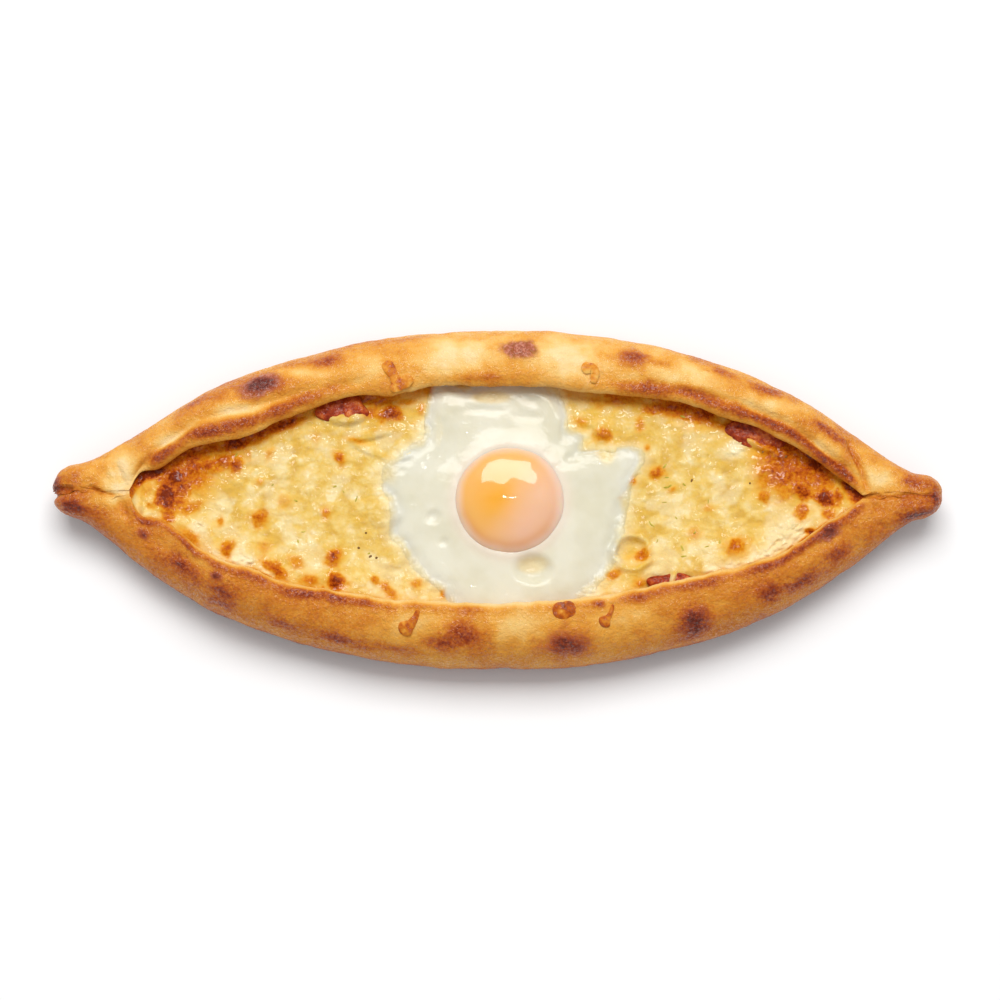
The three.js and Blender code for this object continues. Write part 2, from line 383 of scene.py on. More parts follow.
def bendBoat(x, y, z):
    # tips drift sideways, lift, flatten and are split at the end
    tip, bend = tips[sign(x)], toTip(x)
    notch = tip["split"] * bump(y, tip["cleft"], 1.7) * smooth(abs(x), 148, dough["halfLength"])
    y += tip["wander"] * sin(x / 3.1) * bump(y, 0, 5) * closedness(x)
    z = mix(dough["belt"], z, mix(1, dough["tipFlatness"], bend)) + dough["tipLift"] * bend
    return Vector((x - copysign(notch, x), y + tip["drift"] * bend, z))


def doughPoint(u, v):
    x = -dough["halfLength"] * cos(u * pi)
    side = 1 if v <= 0.5 else -1
    rim = rimAt(x, side)
    off, height = doughSection(rim, 2 * v if side > 0 else 2 * (1 - v))
    return bendBoat(x, side * off, mix(dough["belt"], height, rim["round"]))


# browned places: x, y, length, width, turn, browning, char, rise
crustSpots = [
    (-84.2, 39.6, 9.6, 5.6, 24, 0.66, 0.8, 0.6), (-61, 48.5, 8, 4.4, 10, 0.34, 0.06, 0.2),
    (8.3, 52.4, 8.4, 4.8, -4, 0.26, 0.92, 0.4), (49, 49.5, 7.6, 5.4, -10, 0.46, 0.12, 0.5),
    (58, 47.5, 6, 3.4, -10, 0.2, 0, 0.2), (80, 44.5, 9, 3.6, -20, 0.3, 0.02, 0.1),
    (95, 38.5, 9, 3.4, -26, 0.3, 0.03, 0.1), (116, 25, 7, 3.2, -38, 0.26, 0, 0.1),
    (122, 20.5, 6, 3.2, -44, 0.28, 0, 0.1), (-132, 22, 9, 3.4, 36, 0.2, 0, 0),
    (-107, 34.5, 8, 3, 30, 0.2, 0, 0), (-11.5, -49.5, 13, 8.2, 12, 0.38, 0, 0.5),
    (-22, -52.5, 9, 4, 0, 0.26, 0.05, 0), (24.5, -52.8, 12, 7.4, -8, 0.52, 0.3, 0.6),
    (70.2, -44.6, 7.4, 6.4, 22, 0.52, 0.2, 0.5), (69, -50, 7, 3.6, 22, 0.22, 0.05, 0),
    (36.5, -38.8, 2.8, 2, 0, 0.36, 0, 0.2), (-56, -51, 12, 4, -14, 0.3, 0.04, 0),
    (-36, -54.5, 12, 3, -6, 0.24, 0.04, 0), (-76, -46, 8, 4, -20, 0.22, 0.02, 0),
    (-97, -34.5, 7, 4.4, -30, 0.3, 0.02, 0), (-112, -24.5, 10, 4.6, -40, 0.32, 0.02, 0),
    (-98, -38.5, 9, 3, -34, 0.26, 0.02, 0), (122, -20.5, 8, 4.4, 30, 0.24, 0.02, 0),
    (118.5, -14.2, 5, 2.2, 32, 0.42, 0.75, 0.2), (-99.3, -28.8, 2.8, 2, -20, 0.44, 0.5, 0.3),
    (-125.8, -13.8, 2.4, 1.6, -30, 0.38, 0.3, 0.2), (97, -35, 5, 5, 20, 0.28, 0.02, 0),
    (108, -31.5, 10, 3.4, 30, 0.28, 0.02, 0), (-158, 4.8, 4.5, 3.6, 20, 0.46, 0.06, 0),
    (-151, -3.4, 7, 3.4, -12, 0.42, 0.12, 0), (-143, 12, 7, 3, 24, 0.3, 0, 0),
    (150, 4.6, 9, 3, -10, 0.32, 0.02, 0), (157, 0, 3.6, 5, 0, 0.34, 0.02, 0),
    (151, -6, 10, 3, 12, 0.36, 0.04, 0),
]
palePatches = [   # x, y, length, width, turn, how pale
    (-137, 9, 9, 6, 0, 0.34), (-134, 4, 3.5, 11, 0, 0.2), (-140, -1, 6, 2.5, 0, 0.24),
    (137, 7, 7, 4.5, 0, 0.3), (-117, 20, 6, 3, 0, 0.22), (-92, 31, 10, 2.6, 0, 0.24),
    (-70, 44, 11, 3, 0, 0.22), (-13, 50, 15, 6, 0, 0.26), (26, 49, 14, 6, 0, 0.28),
    (68, 44, 15, 5, 0, 0.28), (101, 32, 12, 4, 0, 0.26), (-46, 46, 8, 4, 0, 0.16),
    (118, 18, 8, 3, 0, 0.22), (-100, -24, 9, 2.4, 0, 0.2), (6, -46.5, 16, 6, 0, 0.2),
    (-31, -46.5, 10, 6, 0, 0.16), (50, -43.5, 10, 5, 0, 0.18),
]
grooves = [   # the fold behind the inner roll of the back rim: from x, y to x, y, width, depth
    (-131, 4.5, -121, 17.5, 1.8, 1.6), (-123, 15.5, -105, 29, 2, 2.3), (-108, 27.5, -86, 31.4, 2, 2.1),
    (-90, 30.8, -68, 37, 2, 1.7), (-72, 36.2, -46, 41, 2.2, 1), (32, 42, 70, 38, 2.2, 0.8),
    (62, 38.4, 90, 32, 2, 1.6), (86, 33, 108, 23.5, 2, 2.1), (104, 25.8, 130, 5.5, 1.9, 2.1),
    (-122, -15.5, -104, -26.5, 2.2, 0.7), (104, -24, 124, -12.5, 2.2, 0.6),
]
creases = [   # strokes where the dough is pinched: from x, y to x, y, width, depth
    (-145, 3.4, -139.5, 1.2, 0.7, 1.2), (-139, 0.8, -136.2, 0.5, 1, 1.3),
    (-150, 1.4, -145, 2.4, 1.4, 0.6), (-136.5, 13, -133.5, 4.5, 1.5, 1.6),
    (-134.5, -1, -131.5, -8, 1.4, 1), (-142, 10.5, -137, 5, 1.6, 0.6), (-136, -6.5, -133.5, 0, 1.5, 0.6),
    (-158, 3, -151, 2.4, 1.1, 1.3), (126, 19.5, 130.5, 9, 1.1, 2), (130.5, 9, 132.5, 1.5, 1.2, 1.5),
    (132.5, 0.9, 139, -0.7, 0.9, 0.9), (139, -0.7, 147, 0.6, 0.7, 0.6), (147, 0.6, 156, -0.2, 0.6, 0.5),
    (136, -9, 139, -11.5, 0.8, 0.6), (134, -2, 137, -6, 1.4, 0.5), (140, 8, 150, 7, 2, 0.5),
]
crestScorch = {   # along the crest: place, reach, strength of each toasted stretch
    1: [(-120, 7, 0.75), (-106, 7, 0.55), (-95, 12, 0.5), (-72, 12, 0.6), (-58, 5, 0.45), (-44, 5, 0.3),
        (-7, 8, 0.42), (52, 9, 0.6), (70, 10, 0.8), (88, 9, 0.8), (103, 8, 0.8), (117, 6, 1.1),
        (126, 4, 0.8)],
    -1: [(-126, 4, 0.7), (-118, 9, 0.5), (-109, 4, 0.7), (-99, 4, 1), (-86, 6, 0.6), (-69, 7, 1),
         (-57, 5, 0.9), (-46, 6, 0.7), (-28, 6, 0.3), (-9, 9, 0.3), (51, 4, 0.75), (66, 8, 0.5),
         (76, 5, 0.65), (96, 8, 0.8), (109, 6, 0.8), (118, 4, 1.25), (127, 4, 0.6)],
}


def surfaceHeight(x, y):
    # height of the rim's outer skin above a place in plan
    rim = rimAt(x, sign(y))
    share = (abs(y) - rim["crestLine"]) / max(rim["outer"] - rim["crestLine"], 0.1)
    turn = acos(min(max(share, 0), 0.99) ** (dough["shoulder"] / 2))
    return mix(dough["belt"], rim["crest"], sin(turn) ** (2 / dough["shoulder"]))


def nearSpot(place, along, across, height, length, width, turn):
    # 1 in the middle of a spot, fading to 0 at its uneven edge
    step = place.x - along
    if abs(step) > 2.4 * max(length, width):
        return 0.0
    sideways = copysign(hypot(place.y - across, place.z - height), place.y - across)
    out = ovalOut(step, sideways, length, width, turn)
    if out > 2.2:
        return 0.0
    uneven = out * (1 + 0.25 * grain(place, 5, 3, 5)) + 0.1 * grain(place, 1.4, 2, 9)
    return 1 - smooth(uneven, 0.05, 1.35)


def strokeCut(x, y, stroke):
    # how deep a pinched line cuts at a place
    startX, startY, endX, endY, width, depth = stroke
    runX, runY = endX - startX, endY - startY
    share = ((x - startX) * runX + (y - startY) * runY) / (runX ** 2 + runY ** 2)
    share = min(max(share, 0), 1)
    away = hypot(x - startX - share * runX, y - startY - share * runY)
    return depth * bump(away, 0, width) * (1 - 0.6 * abs(2 * share - 1) ** 3)


crust = {   # how brown each part is painted, from 0 to 1, with some painted shade and highlight in it; 1 is the back rim, -1 the front rim
    "base": {1: 0.31, -1: 0.39},
    "uneven": {1: 1, -1: 0.6},
    "foot": 0.34,
    "tips": 0.08,
    "towardsTips": 0.09,
    "scorch": {1: 0.28, -1: 0.3},
    "stripeReach": {1: 3.8, -1: 3},
    "edge": {1: 0.06, -1: 0.3},      # how much paler the edge of the lip is: partly paler dough, partly a painted highlight where the lip catches the light
    # browner inner wall under the lip, partly browning and partly painted shade under the overhang
    "inside": 0.34,
    "frontBelt": 0.16,
}


def paintCrust(mesh):
    layers = addLayers(mesh, "toastAndPaintedLight", "char", "glaze")
    spots = [(spot, surfaceHeight(*spot[:2])) for spot in crustSpots]
    moves = []
    for vert in mesh.verts:
        place = vert.co
        x, y, z = place
        sideways = y - tips[sign(x)]["drift"] * toTip(x)
        side, off = sign(sideways), abs(sideways)
        rim = rimAt(round(x, 1), side)
        openness = 1 - smooth(abs(x), 125, 134)
        top = smooth(z, rim["crest"] - 9, rim["crest"] - 3)
        cloudy = 0.12 * grain(place, 16, 3, 2) + 0.08 * grain(place, 5, 3, 4)
        browningAndPaintedLight = crust["base"][side] + crust["uneven"][side] * cloudy
        browningAndPaintedLight += crust["foot"] * (1 - smooth(z, 2, 15))
        browningAndPaintedLight += crust["tips"] * smooth(abs(x), 132, 146)
        browningAndPaintedLight += crust["towardsTips"] * smooth(abs(x - 5), 25, 75)
        charring, rise = 0, 0
        for (along, across, length, width, turn, brown, black, lift), height in spots:
            near = nearSpot(place, along, across, height, length, width, turn)
            if near > 0:
                browningAndPaintedLight += brown * (0.56 * near + 0.5 * near ** 3)
                charring = max(charring, black * smooth(near, 0.12, 0.95 - 0.4 * black))
                rise += lift * near
        for out, pale in ovalsNear(palePatches, x, y):
            browningAndPaintedLight -= pale * bump(out, 0, 1) * (1 + 0.4 * grain(place, 4, 2, 7)) * top
        # the toasted stripe just behind the lip
        stripe = rim["lip"] + (3 if side < 0 else mix(4.6, 2.6, bump(x, 10, 60)))
        stripe -= 1.8 * smooth(side * x, 100, 118)
        fromStripe = abs(off - stripe - 0.8 * grain(place, 8, 2, 13))
        band = (1 - smooth(fromStripe, 0.4, crust["stripeReach"][side])) * top * openness
        if band > 0.01:
            scorch = sum(size * bump(x, at, reach) for at, reach, size in crestScorch[side])
            scorch = min(scorch, 1.35) * (1 + 0.25 * grain(place, 3.6, 3, 11))
            even = 0.04 if side < 0 else 0.22 * smooth(x, 30, 60) + 0.14 * smooth(-x, 50, 80)
            browningAndPaintedLight += band * (even + crust["scorch"][side] * scorch)
            charring = max(charring, 0.9 * band * (scorch - 1))
            rise += 0.35 * band * scorch
        # the lip edge is painted paler, partly paler dough and partly a painted highlight along the edge
        browningAndPaintedLight -= crust["edge"][side] * bump(off, rim["lip"] + 0.3, 1.3) * top * openness
        # the front flank is painted darker in a band low down
        if side < 0:
            browningAndPaintedLight += crust["frontBelt"] * bump(z, 5, 6)
        # painted shade: the inner wall under the lip is painted browner, partly browning and partly the
        # shade beneath the overhang
        inner = smooth(rim["lip"] + 1.2 - off, 0, 1.2) * smooth(rim["crest"] - z, 2.5, 5.5)
        inner *= openness * smooth(z, 2, 5)
        browningAndPaintedLight += crust["inside"] * inner * (1 - 0.3 * bump(x, 5, 48))
        # the flat underside is patchy and paler
        browningAndPaintedLight += (0.3 * grain(place, 26, 4, 8) - 0.24) * (1 - smooth(z, 0.05, 1))
        groove = max(strokeCut(x, y, stroke) for stroke in grooves) * top
        rise -= groove
        browningAndPaintedLight -= 0.09 * groove
        if abs(x) > 122:
            for stroke in creases:
                # the pinched creases are cut in and painted darker, as painted shade in the fold
                cut = strokeCut(x, y, stroke) * smooth(z, 12, 16)
                rise -= cut
                browningAndPaintedLight += 0.1 * cut
        paint(vert, layers, (min(max(browningAndPaintedLight, 0), 1), min(max(charring, 0), 1), inner))
        relief = 0.55 * grain(place, 24, 3, 1) + 0.28 * grain(place, 9, 3, 3)
        relief += 0.13 * grain(place, 2.8, 2, 6)
        moves.append(vert.normal * (relief + rise) * smooth(z, 0.4, 5))
    for vert, move in zip(mesh.verts, moves):
        vert.co += move


def makeDough():
    mesh = gridMesh(dough, doughPoint)
    bmesh.ops.remove_doubles(mesh, verts=mesh.verts, dist=0.004)
    bmesh.ops.recalc_face_normals(mesh, faces=mesh.faces)
    mesh.normal_update()
    paintCrust(mesh)
    finishPiece(mesh, "bakedDough", crustMaterial(), "baked_dough", "dough_boat")


def crustMaterial():
    material, place = startMaterial("bakedCrust")
    mottle = noiseValue(place, 8, 4, 0.6)
    speckle = noiseValue(place, 1.3, 4, 0.7)
    pores = noiseValue(place, 1, 3, 0.65)
    streak = noiseValue(place, 2.6, 3, 0.6, (0.3, 1, 1))
    toastAndPaintedLight = painted(place, "toastAndPaintedLight")
    value = plus(toastAndPaintedLight, scaled(mottle, 0.24, -0.12))
    # the speckle is strong where the crust is brown and hardly there where it is pale
    coarse = scaled(times(toastAndPaintedLight, toastAndPaintedLight), 1.6, 0.04)
    value = plus(value, times(plus(speckle, -0.5), coarse))
    value = plus(value, scaled(streak, 0.12, -0.06), clamp=True)
    colour = ramp(value, [
        (0, 246, 214, 156), (0.16, 241, 195, 114), (0.32, 231, 162, 62), (0.47, 211, 128, 34),
        (0.62, 186, 93, 22), (0.8, 148, 56, 17), (1, 100, 34, 16),
    ])
    # charred spots are dark maroon with lighter lilac speckles, partly their colour and partly a painted
    # sheen
    burnt = times(painted(place, "char"), scaled(speckle, 1.4, 0.3), clamp=True)
    charAndSheen = ramp(speckle, [(0.36, 112, 34, 20), (0.5, 168, 88, 66), (0.64, 210, 140, 112)])
    charAndSheen = blendColour(scaled(value, 2.4, -1.45, clamp=True), charAndSheen, tint(86, 22, 16))
    gloss = plus(scaled(value, -0.2, 0.56), times(painted(place, "glaze"), -0.2))
    shine = times(spread(pores, 0.46, 0.6, 0.04, 0.9), scaled(toastAndPaintedLight, 0.9, 0.4), clamp=True)
    heights = scaled(speckle, 0.6, times(pores, 0.6))
    heights = plus(heights, times(streak, 0.4))
    # fine wrinkles where a smooth noise passes through its middle, deeper in the brown parts
    folds = maths("ABSOLUTE", plus(noiseValue(place, 3.4, 2, 0.5), -0.5))
    folds = maths("MINIMUM", times(folds, 3.5), 0.3)
    heights = plus(heights, times(folds, scaled(toastAndPaintedLight, 0.9, 0.05)))
    return finishMaterial(
        material, colour=[blendColour(burnt, colour, charAndSheen)], skin=[gloss, 0.12],
        depth=[0.05, (1, 0.5, 0.2), 0.002], coat=[shine, 0.12, 1.55],
        bumps=[bumpFrom(heights, 1, 0.7), bumpFrom(heights, 1, 0.5)])


makeDough()

# melted cheese

cheese = {
    "columns": 460,
    "rows": 160,
    "level": 18.4,
    "halfLength": cheeseHigh.x / mm + 4.2,
    "frontSwell": 1.5,       # the filling stands higher against the front lip
    "depth": 8,
    "tuck": (0.985, 0.95),   # how far its hidden underside draws in
}
egg = {
    "x": (yolkLow.x + yolkHigh.x) / 2 / mm,
    "y": (yolkLow.y + yolkHigh.y) / 2 / mm,
    "radius": 42,
    "rise": 2,   # above the cheese
}
whiteLobes = [   # degrees round from +X, how far the edge bulges or dips, half width in degrees
    (19, 9, 9), (35, -10, 7), (50, -9, 9), (72, 3, 8), (92, 5, 14), (122, 9, 9), (144, -3.5, 8),
    (165, 4, 5.5), (174, 3, 6), (196, 3, 5), (232, -2, 8), (318, 2, 16),
]
# browned blisters: x, y, length, width, turn, browning, rise
cheeseBlisters = [
    (-115.5, 2.5, 8, 10.5, -10, 0.62, 0), (-97.5, 12.5, 9.5, 4.6, 8, 0.56, 0.2),
    (-117.7, 0.8, 4.4, 5.6, 0, 1, 0.7), (-114.8, 7.4, 3.4, 3.4, -20, 0.92, 0.6),
    (-112.5, 3, 3.4, 4, 0, 0.74, 0.3), (-117, -6, 3, 3, 0, 0.6, 0.2), (-109.5, -4, 5.4, 3, 20, 0.48, 0.1),
    (-102.9, 11.6, 4.4, 3.2, 10, 0.66, 0.5), (-97.5, 13.4, 4, 3, 0, 0.7, 0.5),
    (-93.2, 11.8, 3, 3.4, -10, 0.74, 0.6), (-85.2, -7.7, 3.6, 3.4, 0, 0.62, 0.4),
    (-98.6, -8.6, 1.6, 2.2, 0, 0.46, 0.2), (-96, -18.3, 2.6, 3, -30, 0.6, 1.2),
    (-83, -17.6, 3, 3, 0, 0.34, 0.1), (-56, 14.1, 2.1, 2.9, 15, 0.62, 0.5),
    (-84.5, 5.4, 1.9, 1.9, 0, 0.36, 0.2), (-75.9, -1.5, 3.2, 3.4, 0, 0.3, 0.2),
    (-60.9, -5.6, 2.4, 2.4, 0, 0.52, 0.4), (-64.5, 21.5, 2.2, 3, 0, 0.3, 0.2),
    (-81.5, 15.5, 2, 3.4, -20, 0.34, 0.2), (-58.2, -21.5, 2.7, 3.3, 0, 0.78, 0.9),
    (-57.4, -29.8, 3.3, 3.3, 0, 0.92, 1.3), (-78.9, -25.6, 6.4, 2.2, -34, 0.7, 0.8),
    (-66.5, -29.4, 3.6, 2.4, 0, 0.56, 0.5), (-71.5, -23, 4, 2.6, -20, 0.44, 0.2),
    (-43.6, -29.4, 1.8, 1.8, 0, 0.56, 0.5), (-38.4, -33.6, 4, 1.8, -50, 0.54, 0.5),
    (-28.9, -31, 2.6, 2.2, 0, 0.44, 0.3), (-18.8, -34.6, 1.6, 1.8, 0, 0.56, 0.4),
    (-38.2, 30.4, 5.2, 3.4, 6, 0.86, 1.2), (-27.1, 31.5, 1.6, 2.6, 0, 0.44, 0.1),
    (-45, 31, 3, 3, 0, 0.5, 0.2), (-33, 34.5, 6, 2, 4, 0.44, 0), (-51, 20.6, 4.2, 1.2, -10, 0.46, 0.5),
    (-109.4, -14.4, 5.6, 3, -42, 0.48, 0.3), (-125, 3, 4, 5, 0, 0.34, 0),
    (-113.5, 12.5, 4, 2, 30, 0.5, 0), (-88.5, 23.5, 4, 1.6, 10, 0.5, 0.2),
    (38.6, 22.4, 3.4, 3, -20, 0.58, 0.6), (30, 27, 3, 2, -40, 0.42, 0.3),
    (36.5, 33.4, 3, 2.4, 0, 0.34, 0.2), (34, 15, 2.2, 2.2, 0, 0.4, 0.4),
    (54.5, 31.5, 3.6, 2, 0, 0.66, 0.3), (72, 27.5, 15, 5, -10, 0.26, 0), (51.5, 26.5, 2, 4, 0, 0.44, 0),
    (57.2, 8.8, 3, 2.6, 0, 0.66, 0.6), (47.9, 6.4, 2.2, 1.8, -30, 0.58, 0.3),
    (44, 1.6, 1.2, 3.6, -10, 0.34, 0.1), (54, 18, 1.4, 1.8, 0, 0.46, 0.1),
    (51.6, -21, 3.6, 2.6, 0, 0.6, 0), (42, -27.6, 3.6, 2.2, 30, 0.5, 0.4),
    (51.5, -31, 3.2, 2, 20, 0.46, 0.4), (37, -15, 1.2, 1.6, 0, 0.36, 0.1),
    (63, 3, 2.2, 1.2, 30, 0.4, 0.3), (75.6, -4, 2.4, 1.8, 0, 0.36, 0.3),
    (70.5, -13, 2.6, 3.4, 20, 0.36, 0.1), (95.7, 0.4, 2.4, 2.4, 0, 0.54, 0.7),
    (96.1, 9.6, 3.8, 2.4, 0, 0.54, 0.6), (97.5, 6, 2.6, 2, 0, 0.36, 0.2),
    (108.9, 2.6, 3.8, 4, 0, 0.84, 1), (117.4, -0.2, 4.2, 4, 0, 0.98, 0.9), (122, 0, 2.4, 3, 0, 0.72, 0.2),
    (109.1, -5.2, 2.4, 3.4, 0, 0.64, 0.1), (118.6, -6, 3, 3.4, 0, 0.56, 0.1),
    (121.6, -9, 3, 2, -40, 0.52, 0.1), (111, 9.4, 3, 2, 0, 0.6, 0.4), (85.4, -17.6, 3.8, 4, 0, 0.64, 1.2),
    (103.5, 15.5, 5, 1.8, -28, 0.56, 0.1), (115.5, 8, 5, 2.2, -34, 0.6, 0.1),
    (112, -12.6, 2.2, 1.2, -20, 0.85, -0.6),
]
bubbleRing = {"x": 48.2, "y": -19.8, "radius": 6.2, "width": 1.5, "rise": 2, "pool": 1.4}
oilPools = [   # yellower, clearer places: x, y, reach, strength
    (-50.6, -8, 2.6, 1), (-61.5, 12, 1.6, 0.9), (-63, 5, 1.4, 0.5), (-91, -3, 3, 0.4), (-80, -17, 3, 0.5),
    (-50, 31, 4.5, 0.5), (-44, 20, 4, 0.4), (33, 31, 6, 0.8), (40, 26, 4, 0.5), (53, 30, 3, 0.9),
    (53, 19, 2, 0.7), (74, 12, 5, 0.35), (64, -8, 2.2, 0.7), (66, -14, 2, 0.6), (60, -22, 2.5, 0.5),
    (71, 4, 1.8, 0.6), (52, -22, 3.4, 0.9), (48.2, -19.8, 6, 0.8), (54, -31, 3, 0.9), (45, -4, 2, 0.5),
    (-42, -26, 4, 0.6), (-47, -33, 3, 0.5), (118, -9, 3, 0.7), (109, -4, 2, 0.5), (-107, -16, 3, 0.6),
    (-36, -33, 3, 0.7),
]
curdHeaps = [   # loose white crumbs of cheese: x, y, reach
    (104, -12.6, 4.6), (100, -16.5, 3.4), (96, -21, 3), (-106.5, -10.6, 2.6), (-93, -24, 3.6),
    (-100, -21.5, 2.2), (-88, -22.6, 2), (86, 17.5, 3), (34, -35.5, 3), (62, -30.5, 1.8), (-32, 15, 3),
    (108.5, -9.6, 3.2), (91, -23.4, 3), (84, -26, 3.4), (77, -27.5, 2.4), (-82, -26.5, 2.6),
]
cheeseDents = [   # where it sinks at the meat: x, y, length, width, turn, depth
    (-54, 35, 8, 5.5, 12, 1.1), (93, 26, 10, 4.2, -14, 1.3), (57.5, -32, 4.6, 3.6, 12, 4),
    (66.5, -31.5, 4.6, 3.4, 12, 4),
]
cheeseTongues = [   # rounded rolls of cheese lapping over the egg white: x, y, length, width, turn, rise
    (-40, -6, 6.5, 6, 0, 1), (-37, -21, 6, 5, 30, 1), (-45, 22.5, 8, 2, 12, 1.1),
    (-46, 17, 8, 1.6, -24, 0.8), (42.5, 3, 3, 6, 0, 0.6), (44.5, -10, 3.4, 5, 0, 0.6),
    (37, 25, 5, 3, -40, 0.9), (41, 17, 2.4, 4, 10, 0.8), (-53, 28.6, 7, 2.8, 8, 2.2),
    (-60, 31, 3, 4, 0, 1), (62.4, -31.5, 1.7, 5.5, -12, 3.6), (93, 20.5, 9, 3, -32, 1.7),
    (101, 16.5, 4, 3, -32, 1.2), (86, 27, 2.5, 3, 0, 1),
]


def whiteRadius(turn):
    lobes = sum(size * bump((turn - at + 180) % 360 - 180, 0, half) for at, size, half in whiteLobes)
    return egg["radius"] + lobes


def fromYolk(x, y):
    return hypot(x - egg["x"], y - egg["y"])


def whiteEdge(x, y):
    # 0 at the yolk's middle and 1 at the edge of the egg white
    radius = whiteRadius(degrees(atan2(y - egg["y"], x - egg["x"])))
    return fromYolk(x, y) / (radius + 1.2 * grain((x, y, 0), 8, 3, 21))


def wallReach(x, side):
    rim = rimAt(x, side)
    return rim["lip"] + rim["under"] * 0.96 + 0.15


def cheeseHeight(x, y):
    place = (x, y, 0)
    warped = (x + 1.6 * grain(place, 7, 2, 1), y + 1.6 * grain(place, 7, 2, 2), 0)
    lip = rimAt(round(x, 1), sign(y))["lip"]
    height = cheese["level"] + 0.2 * sin(x / 7.4 + 0.6) * sin(y / 6.6 + 1.1)
    height += 0.55 * grain(place, 17, 2, 31)
    for long, wide, size, sunk in ((6, 5, 0.3, 0.15), (2.4, 2.1, 0.1, 0)):   # large and small shreds
        cells = noise.voronoi(Vector((warped[0] / long, warped[1] / wide, 0.5)))[0]
        height += size * smooth(cells[1] - cells[0], 0, 0.6) - sunk
    height += 0.07 * grain(warped, 2.8, 2, 33)
    height += cheese["frontSwell"] * smooth(-y, lip - 18, lip) * (1 - 0.7 * bump(x, 5, 32))
    height += 0.35 * max(grain(warped, 2, 3, 35), -0.2) * smooth(y, lip - 16, lip - 4)
    height -= 0.8 * smooth(y, lip - 6, lip)
    out = hypot(x - bubbleRing["x"], y - bubbleRing["y"]) * (1 + 0.12 * grain(place, 6, 2, 41))
    height += bubbleRing["rise"] * bump(out, bubbleRing["radius"], bubbleRing["width"])
    height -= bubbleRing["pool"] * bump(out, 0, bubbleRing["radius"] * 0.75)
    for heap in curdHeaps:
        near = dot(x, y, *heap)
        if near > 0.02:
            height += near * (0.5 + 1.3 * max(grain(place, 1.7, 3, 43), -0.3))
    for out, _, rise in ovalsNear(cheeseBlisters, x, y, 9):
        height += rise * (1 - smooth(out * (1 + 0.2 * grain(place, 3, 3, 51)), 0.1, 1.2))
    for out, depth in ovalsNear(cheeseDents, x, y):
        height -= depth * bump(out, 0, 1)
    for out, rise in ovalsNear(cheeseTongues, x, y, 12):
        height += rise * (1 - smooth(out, 0.5, 1.15))
    return height


def cheesePoint(u, v):
    x = cheese["halfLength"] * sin((u - 0.5) * pi)
    y = mix(-wallReach(x, -1), wallReach(x, 1), v)
    height = cheeseHeight(x, y) - 3 * (1 - smooth(whiteEdge(x, y), 0.74, 0.92))
    rim = rimAt(x, 1)
    underSeam = mix(rim["floor"], rim["crest"] - rim["drop"], 0.5)
    return bendBoat(x, y, mix(height, underSeam, closedness(x)))


def cheeseTone(place):
    # browning, milkiness and oiliness of the cheese at one place; the browning also holds painted shade
    # under the back lip, and grows darker towards the ends
    x, y = place[0], place[1]
    browningAndPaintedLight = 0
    for out, tone, _ in ovalsNear(cheeseBlisters, x, y, 10):
        out *= 1 + 0.45 * grain(place, 3.4, 3, 51)
        near = tone * (0.64 * (1 - smooth(out, 0.1, 1.35)) + 0.34 * (1 - smooth(out, 0.4, 2.5)))
        browningAndPaintedLight = max(browningAndPaintedLight, near) + 0.1 * min(browningAndPaintedLight, near)
    lip, frontLip = (rimAt(round(x, 1), side)["lip"] for side in (1, -1))
    awayFromEgg = 1 - bump(x, 4, 44)
    reach = mix(5.5, 9, smooth(x, 30, 60))
    # painted shade: a darker amber band under the back lip, weaker by the egg, partly browned cheese
    underLipShade = smooth(y, lip - reach, lip) * (0.9 + 0.7 * grain(place, 8, 3, 55))
    underLipShade *= 0.9 * (0.15 + 0.85 * awayFromEgg)
    atFront = smooth(-y, frontLip - 2, frontLip + 0.6) * (0.5 + 1.2 * abs(grain(place, 9, 3, 56)))
    atEnds = smooth(abs(x + 4), 88, 106) * (0.11 + 0.56 * smooth(y + 3 * grain(place, 7, 3, 58), -6, 9))
    atEnds *= 1 - 0.6 * smooth(abs(x), 118, 124)
    browningAndPaintedLight = max(browningAndPaintedLight, underLipShade, 0.5 * atFront * awayFromEgg, atEnds)
    milk = 0.4 * smooth(grain(place, 9, 3, 53), 0.05, 0.4)
    milk += 0.5 * (1 - smooth(whiteEdge(x, y), 1, 1.12))
    milk += 1.2 * sum(dot(x, y, *heap) for heap in curdHeaps)
    oil = sum(size * dot(x, y, *pool) for *pool, size in oilPools)
    oil += 0.35 * smooth(y, lip - 14, lip - 3) + 0.35 * smooth(grain(place, 10, 3, 57), 0.1, 0.6)
    return min(browningAndPaintedLight, 1), min(milk, 1), min(oil, 1)


def paintCheese(mesh):
    # the brown layer holds the blisters' browning and the painted shade under the back lip
    layers = addLayers(mesh, "brown", "milky", "oily", "glint")
    for vert in mesh.verts:
        x, y, _ = vert.co
        lip = rimAt(round(x, 1), 1)["lip"]
        glint = 0.5 + 0.5 * smooth(y + 4 * grain(vert.co, 12, 2, 59), lip - 20, lip - 8)
        glint = mix(glint, 0.4, smooth(abs(x), 100, 112)) * (1 - smooth(y, lip - 5, lip - 1.5))
        tone = cheeseTone(vert.co)
        paint(vert, layers, (*tone, max(glint, 0.45 * smooth(tone[0], 0.2, 0.5))))


def openEdges(mesh):
    return [edge for edge in mesh.edges if edge.is_boundary]


def makeCheese():
    mesh = gridMesh(cheese, cheesePoint)
    paintCheese(mesh)
    skirt = bmesh.ops.extrude_edge_only(mesh, edges=openEdges(mesh))["geom"]
    tuckX, tuckY = cheese["tuck"]
    for vert in [part for part in skirt if isinstance(part, bmesh.types.BMVert)]:
        bottom = max(vert.co.z - cheese["depth"], dough["floor"] + 0.3)
        vert.co = Vector((vert.co.x * tuckX, vert.co.y * tuckY, bottom))
    bmesh.ops.holes_fill(mesh, edges=openEdges(mesh), sides=0)
    bmesh.ops.remove_doubles(mesh, verts=mesh.verts, dist=0.002)
    finishPiece(mesh, "meltedCheese", cheeseMaterial(), "melted_cheese", "melted_cheese")


